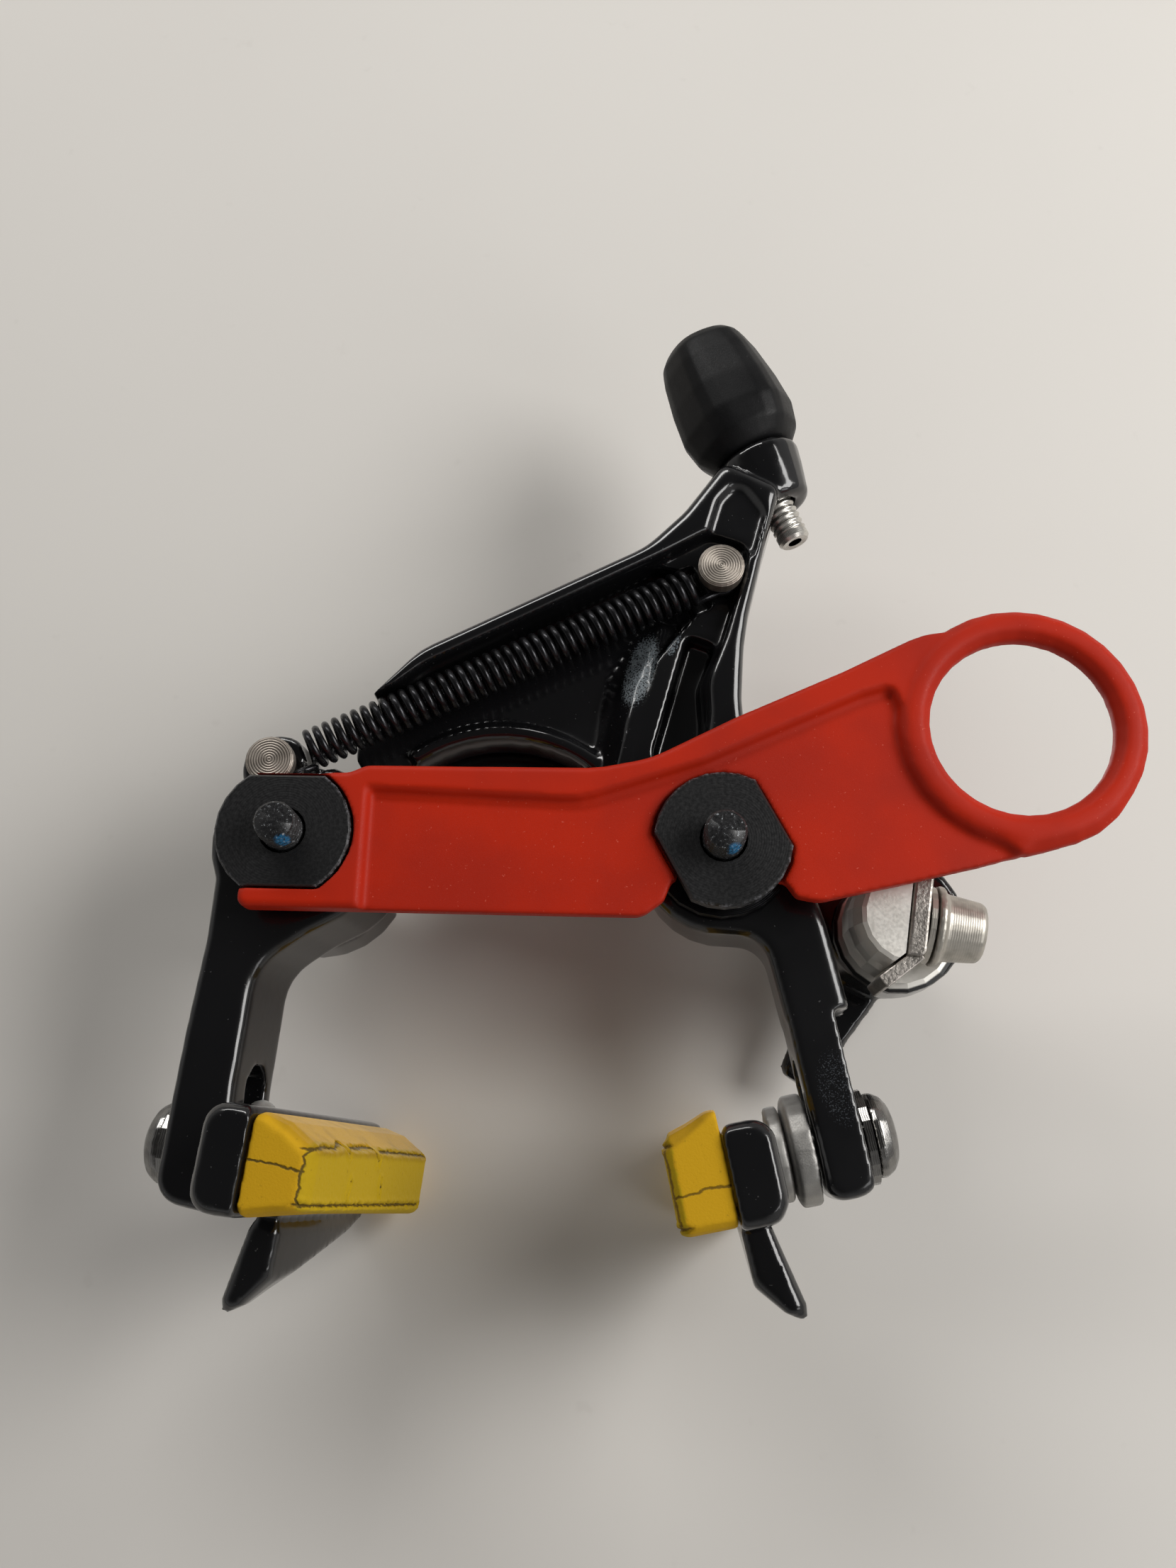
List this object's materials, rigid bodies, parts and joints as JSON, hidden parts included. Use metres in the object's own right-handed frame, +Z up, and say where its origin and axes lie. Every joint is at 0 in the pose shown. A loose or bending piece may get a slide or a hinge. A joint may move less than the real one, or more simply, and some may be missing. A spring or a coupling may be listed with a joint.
{
  "type": "direct mount rim brake",
  "caption": "Dual pivot bicycle rim brake that bolts to the frame on its own posts, with cable stop, quick release and cartridge pads.",
  "frame": {"origin": "midway between the two posts, on the plane that the flange washers rest against on the frame or fork", "axes": "+Z up towards the cable stop, +Y from the frame to the front of the brake, +X to the right as the frame sees the brake"},
  "size_m": [0.1415, 0.0573, 0.1532],
  "materials": {
    "black_forging": "gloss black over forged aluminium",
    "black_washer": "satin black",
    "red_plastic": "matte red moulding",
    "yellow_rubber": "matte yellow rubber",
    "black_rubber": "matte black rubber",
    "chromed_steel": "bright",
    "steel": "turned",
    "grey_steel": "blasted grey",
    "spring_steel": "black oiled wire",
    "polymer": "bearing polymer"
  },
  "bodies": {
    "mount": {"mounting_bolt_left": "steel", "mounting_bolt_right": "steel", "flange_washer_left": "black_washer", "flange_washer_right": "black_washer", "pivot_bush_left": "steel", "pivot_bush_right": "steel", "thrust_washer_left": "steel", "thrust_washer_right": "steel", "transport_spacer": "red_plastic", "return_spring": "spring_steel"},
    "left_arm": {"anchor_arm": "black_forging", "pivot_liner_left": "polymer", "spring_pin_lower": "steel", "link_pin": "steel"},
    "right_arm": {"cable_stop_arm": "black_forging", "pivot_liner_right": "polymer", "spring_pin_upper": "steel"},
    "link_roller": {"link_roller": "steel"},
    "adjuster_knob": {"adjuster_knob": "black_rubber"},
    "adjuster_bolt": {"adjuster_bolt": "steel"},
    "qr_lever": {"qr_lever": "black_forging"},
    "cable_anchor": {"anchor_block": "chromed_steel", "anchor_plate": "chromed_steel", "anchor_washer": "steel", "anchor_bolt": "chromed_steel"},
    "left_pad": {"pad_holder_left": "black_forging", "brake_pad_left": "yellow_rubber", "pad_bolt_left": "chromed_steel", "convex_washer_left": "grey_steel", "concave_washer_left": "grey_steel", "pad_bolt_washer_left": "steel"},
    "right_pad": {"pad_holder_right": "black_forging", "brake_pad_right": "yellow_rubber", "pad_bolt_right": "chromed_steel", "convex_washer_right": "grey_steel", "concave_washer_right": "grey_steel", "pad_bolt_washer_right": "steel"}
  },
  "joints": [
    {"name": "left_arm_pivot", "type": "hinge", "parent": "mount", "child": "left_arm", "pos_m": [-0.031, 0, 0], "axis": [0, -1, 0], "range_deg": [0, 12], "stiffness_Nm_per_rad": 1, "springref_deg": -34.38, "deforming": ["return_spring"]},
    {"name": "right_arm_pivot", "type": "hinge", "parent": "mount", "child": "right_arm", "pos_m": [0.031, 0, 0], "axis": [0, 1, 0], "range_deg": [0, 12], "stiffness_Nm_per_rad": 1, "springref_deg": -34.38, "deforming": ["return_spring"]},
    {"name": "link_roller_spin", "type": "hinge", "parent": "left_arm", "child": "link_roller", "pos_m": [0, 0.0183, 0.027], "axis": [0, 1, 0], "continuous": true},
    {"name": "left_pad_height", "type": "slide", "parent": "left_arm", "child": "left_pad", "axis": [0.1115, -0.0137, 0.9937], "range_m": [-0.0012, 0.008]},
    {"name": "right_pad_height", "type": "slide", "parent": "right_arm", "child": "right_pad", "axis": [-0.2159, 0.0113, 0.9764], "range_m": [-0.0012, 0.008]},
    {"name": "adjuster_turn", "type": "hinge", "parent": "right_arm", "child": "adjuster_knob", "pos_m": [0.0337, 0.0125, 0.0736], "axis": [-0.3949, 0, 0.9187], "range_deg": [-1080, 720]},
    {"name": "adjuster_travel", "type": "slide", "parent": "right_arm", "child": "adjuster_bolt", "axis": [-0.3949, 0, 0.9187], "range_m": [-0.0021, 0.0031]},
    {"name": "qr_lever_turn", "type": "hinge", "parent": "left_arm", "child": "qr_lever", "pos_m": [0.0585, 0.0313, -0.0072], "axis": [0, -1, 0], "range_deg": [0, 100]},
    {"name": "cable_anchor_swivel", "type": "hinge", "parent": "qr_lever", "child": "cable_anchor", "pos_m": [0.058, 0.012, -0.009], "axis": [0, -1, 0], "range_deg": [-100, 0]}
  ],
  "couplings": [
    {"joint": "right_arm_pivot", "follows": "left_arm_pivot", "ratio": 1},
    {"joint": "adjuster_travel", "follows": "adjuster_turn", "m_per_rad": -0.00015915},
    {"joint": "cable_anchor_swivel", "follows": "qr_lever_turn", "ratio": -1}
  ]
}
